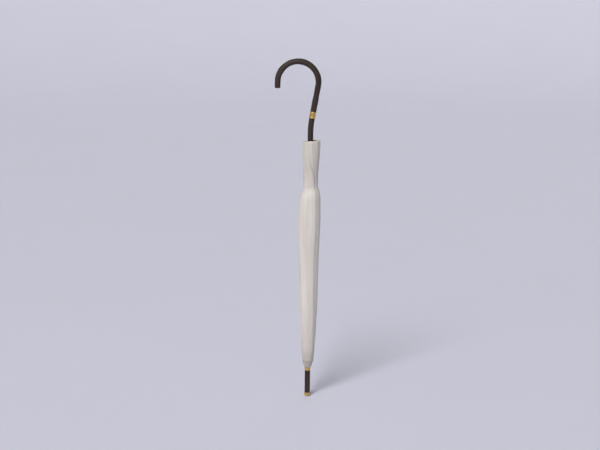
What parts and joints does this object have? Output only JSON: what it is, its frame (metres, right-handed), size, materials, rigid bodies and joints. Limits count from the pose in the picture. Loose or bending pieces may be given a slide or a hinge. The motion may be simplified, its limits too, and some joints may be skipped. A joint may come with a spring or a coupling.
{
  "type": "stick umbrella",
  "caption": "Stick umbrella, furled and standing on its ferrule, with a crook handle, steel frame, sliding runner and ivory canopy.",
  "frame": {"origin": "centre of the ferrule's flat end, on the stick's axis", "axes": "+Z along the stick from ferrule to handle; the crook lies in the XZ plane and opens towards -X"},
  "size_m": [0.1214, 0.0605, 0.898],
  "materials": {
    "stick_wood": "satin dark brown",
    "handle_wood": "satin dark brown",
    "brass": "satin",
    "steel": "satin",
    "crown_plastic": "matte",
    "canopy_cloth": "ivory satin weave",
    "strap_cloth": "ivory satin weave"
  },
  "bodies": {
    "stick": {"stick": "stick_wood", "crook_handle": "handle_wood", "handle_collar": "brass", "ferrule_cap": "brass", "apex_ring": "brass", "apex_cap": "canopy_cloth", "notch": "brass", "notch_wire": "steel", "notch_pin": "steel", "stop_pin": "steel", "spring_pins": "steel"},
    "top_spring": {"top_spring": "steel"},
    "hand_spring": {"hand_spring": "steel"},
    "runner": {"runner_crown": "crown_plastic", "runner_tube": "brass", "runner_wire": "steel"},
    "strap": {"strap": "strap_cloth", "strap_snap": "brass"},
    "rib_1": {"rib_1": "steel", "rib_joint_1": "steel", "rib_tip_1": "brass"},
    "stretcher_1": {"stretcher_1": "steel"},
    "gore_1": {"gore_1": "canopy_cloth"},
    "rib_2": {"rib_2": "steel", "rib_joint_2": "steel", "rib_tip_2": "brass"},
    "stretcher_2": {"stretcher_2": "steel"},
    "gore_2": {"gore_2": "canopy_cloth"},
    "rib_3": {"rib_3": "steel", "rib_joint_3": "steel", "rib_tip_3": "brass"},
    "stretcher_3": {"stretcher_3": "steel"},
    "gore_3": {"gore_3": "canopy_cloth"},
    "rib_4": {"rib_4": "steel", "rib_joint_4": "steel", "rib_tip_4": "brass"},
    "stretcher_4": {"stretcher_4": "steel"},
    "gore_4": {"gore_4": "canopy_cloth", "snap_socket": "brass"},
    "rib_5": {"rib_5": "steel", "rib_joint_5": "steel", "rib_tip_5": "brass"},
    "stretcher_5": {"stretcher_5": "steel"},
    "gore_5": {"gore_5": "canopy_cloth"},
    "rib_6": {"rib_6": "steel", "rib_joint_6": "steel", "rib_tip_6": "brass"},
    "stretcher_6": {"stretcher_6": "steel"},
    "gore_6": {"gore_6": "canopy_cloth"},
    "rib_7": {"rib_7": "steel", "rib_joint_7": "steel", "rib_tip_7": "brass"},
    "stretcher_7": {"stretcher_7": "steel"},
    "gore_7": {"gore_7": "canopy_cloth"},
    "rib_8": {"rib_8": "steel", "rib_joint_8": "steel", "rib_tip_8": "brass"},
    "stretcher_8": {"stretcher_8": "steel"},
    "gore_8": {"gore_8": "canopy_cloth"}
  },
  "joints": [
    {"name": "canopy_open", "type": "hinge", "parent": "stick", "child": "rib_1", "pos_m": [0.00915, 0.00379, 0.102], "axis": [-0.3827, 0.9239, 0], "range_deg": [0, 72]},
    {"name": "rib_2_hinge", "type": "hinge", "parent": "stick", "child": "rib_2", "pos_m": [0.00379, 0.00915, 0.102], "axis": [-0.9239, 0.3827, 0], "range_deg": [0, 72]},
    {"name": "rib_3_hinge", "type": "hinge", "parent": "stick", "child": "rib_3", "pos_m": [-0.00379, 0.00915, 0.102], "axis": [-0.9239, -0.3827, 0], "range_deg": [0, 72]},
    {"name": "rib_4_hinge", "type": "hinge", "parent": "stick", "child": "rib_4", "pos_m": [-0.00915, 0.00379, 0.102], "axis": [-0.3827, -0.9239, 0], "range_deg": [0, 72]},
    {"name": "rib_5_hinge", "type": "hinge", "parent": "stick", "child": "rib_5", "pos_m": [-0.00915, -0.00379, 0.102], "axis": [0.3827, -0.9239, 0], "range_deg": [0, 72]},
    {"name": "rib_6_hinge", "type": "hinge", "parent": "stick", "child": "rib_6", "pos_m": [-0.00379, -0.00915, 0.102], "axis": [0.9239, -0.3827, 0], "range_deg": [0, 72]},
    {"name": "rib_7_hinge", "type": "hinge", "parent": "stick", "child": "rib_7", "pos_m": [0.00379, -0.00915, 0.102], "axis": [0.9239, 0.3827, 0], "range_deg": [0, 72]},
    {"name": "rib_8_hinge", "type": "hinge", "parent": "stick", "child": "rib_8", "pos_m": [0.00915, -0.00379, 0.102], "axis": [0.3827, 0.9239, 0], "range_deg": [0, 72]},
    {"name": "stretcher_1_hinge", "type": "hinge", "parent": "rib_1", "child": "stretcher_1", "pos_m": [0.01059, 0.00438, 0.357], "axis": [-0.3827, 0.9239, 0], "range_deg": [-144, 0]},
    {"name": "stretcher_2_hinge", "type": "hinge", "parent": "rib_2", "child": "stretcher_2", "pos_m": [0.00438, 0.01059, 0.357], "axis": [-0.9239, 0.3827, 0], "range_deg": [-144, 0]},
    {"name": "stretcher_3_hinge", "type": "hinge", "parent": "rib_3", "child": "stretcher_3", "pos_m": [-0.00438, 0.01059, 0.357], "axis": [-0.9239, -0.3827, 0], "range_deg": [-144, 0]},
    {"name": "stretcher_4_hinge", "type": "hinge", "parent": "rib_4", "child": "stretcher_4", "pos_m": [-0.01059, 0.00438, 0.357], "axis": [-0.3827, -0.9239, 0], "range_deg": [-144, 0]},
    {"name": "stretcher_5_hinge", "type": "hinge", "parent": "rib_5", "child": "stretcher_5", "pos_m": [-0.01059, -0.00438, 0.357], "axis": [0.3827, -0.9239, 0], "range_deg": [-144, 0]},
    {"name": "stretcher_6_hinge", "type": "hinge", "parent": "rib_6", "child": "stretcher_6", "pos_m": [-0.00438, -0.01059, 0.357], "axis": [0.9239, -0.3827, 0], "range_deg": [-144, 0]},
    {"name": "stretcher_7_hinge", "type": "hinge", "parent": "rib_7", "child": "stretcher_7", "pos_m": [0.00438, -0.01059, 0.357], "axis": [0.9239, 0.3827, 0], "range_deg": [-144, 0]},
    {"name": "stretcher_8_hinge", "type": "hinge", "parent": "rib_8", "child": "stretcher_8", "pos_m": [0.01059, -0.00438, 0.357], "axis": [0.3827, 0.9239, 0], "range_deg": [-144, 0]},
    {"name": "runner_hinge", "type": "hinge", "parent": "stretcher_1", "child": "runner", "pos_m": [0.00915, 0.00379, 0.61199], "axis": [-0.3827, 0.9239, 0], "range_deg": [0, 72]},
    {"name": "gore_1_spread", "type": "hinge", "parent": "rib_1", "child": "gore_1", "pos_m": [0.00632, 0.00262, 0.09258], "axis": [-0.8787, -0.364, 0.309], "range_deg": [0, 45]},
    {"name": "gore_2_spread", "type": "hinge", "parent": "rib_2", "child": "gore_2", "pos_m": [0.00262, 0.00632, 0.09258], "axis": [-0.364, -0.8787, 0.309], "range_deg": [0, 45]},
    {"name": "gore_3_spread", "type": "hinge", "parent": "rib_3", "child": "gore_3", "pos_m": [-0.00262, 0.00632, 0.09258], "axis": [0.364, -0.8787, 0.309], "range_deg": [0, 45]},
    {"name": "gore_4_spread", "type": "hinge", "parent": "rib_4", "child": "gore_4", "pos_m": [-0.00632, 0.00262, 0.09258], "axis": [0.8787, -0.364, 0.309], "range_deg": [0, 45]},
    {"name": "gore_5_spread", "type": "hinge", "parent": "rib_5", "child": "gore_5", "pos_m": [-0.00632, -0.00262, 0.09258], "axis": [0.8787, 0.364, 0.309], "range_deg": [0, 45]},
    {"name": "gore_6_spread", "type": "hinge", "parent": "rib_6", "child": "gore_6", "pos_m": [-0.00262, -0.00632, 0.09258], "axis": [0.364, 0.8787, 0.309], "range_deg": [0, 45]},
    {"name": "gore_7_spread", "type": "hinge", "parent": "rib_7", "child": "gore_7", "pos_m": [0.00262, -0.00632, 0.09258], "axis": [-0.364, 0.8787, 0.309], "range_deg": [0, 45]},
    {"name": "gore_8_spread", "type": "hinge", "parent": "rib_8", "child": "gore_8", "pos_m": [0.00632, -0.00262, 0.09258], "axis": [-0.8787, 0.364, 0.309], "range_deg": [0, 45]},
    {"name": "top_spring_press", "type": "hinge", "parent": "stick", "child": "top_spring", "pos_m": [0, -0.0032, 0.35163], "axis": [-1, 0, 0], "range_deg": [-4, 0], "stiffness_Nm_per_rad": 1.5},
    {"name": "hand_spring_press", "type": "hinge", "parent": "stick", "child": "hand_spring", "pos_m": [0, -0.0032, 0.63399], "axis": [1, 0, 0], "range_deg": [-4, 0], "stiffness_Nm_per_rad": 1.5},
    {"name": "strap_swing", "type": "hinge", "parent": "gore_3", "child": "strap", "pos_m": [-0.01152, 0.02781, 0.532], "axis": [0.9239, 0.3827, 0], "range_deg": [0, 150]}
  ],
  "couplings": [
    {"joint": "rib_2_hinge", "follows": "canopy_open", "ratio": 1},
    {"joint": "rib_3_hinge", "follows": "canopy_open", "ratio": 1},
    {"joint": "rib_4_hinge", "follows": "canopy_open", "ratio": 1},
    {"joint": "rib_5_hinge", "follows": "canopy_open", "ratio": 1},
    {"joint": "rib_6_hinge", "follows": "canopy_open", "ratio": 1},
    {"joint": "rib_7_hinge", "follows": "canopy_open", "ratio": 1},
    {"joint": "rib_8_hinge", "follows": "canopy_open", "ratio": 1},
    {"joint": "stretcher_1_hinge", "follows": "canopy_open", "ratio": -2},
    {"joint": "stretcher_2_hinge", "follows": "canopy_open", "ratio": -2},
    {"joint": "stretcher_3_hinge", "follows": "canopy_open", "ratio": -2},
    {"joint": "stretcher_4_hinge", "follows": "canopy_open", "ratio": -2},
    {"joint": "stretcher_5_hinge", "follows": "canopy_open", "ratio": -2},
    {"joint": "stretcher_6_hinge", "follows": "canopy_open", "ratio": -2},
    {"joint": "stretcher_7_hinge", "follows": "canopy_open", "ratio": -2},
    {"joint": "stretcher_8_hinge", "follows": "canopy_open", "ratio": -2},
    {"joint": "runner_hinge", "follows": "canopy_open", "ratio": 1},
    {"joint": "gore_1_spread", "follows": "canopy_open", "ratio": 0.625},
    {"joint": "gore_2_spread", "follows": "canopy_open", "ratio": 0.625},
    {"joint": "gore_3_spread", "follows": "canopy_open", "ratio": 0.625},
    {"joint": "gore_4_spread", "follows": "canopy_open", "ratio": 0.625},
    {"joint": "gore_5_spread", "follows": "canopy_open", "ratio": 0.625},
    {"joint": "gore_6_spread", "follows": "canopy_open", "ratio": 0.625},
    {"joint": "gore_7_spread", "follows": "canopy_open", "ratio": 0.625},
    {"joint": "gore_8_spread", "follows": "canopy_open", "ratio": 0.625}
  ]
}
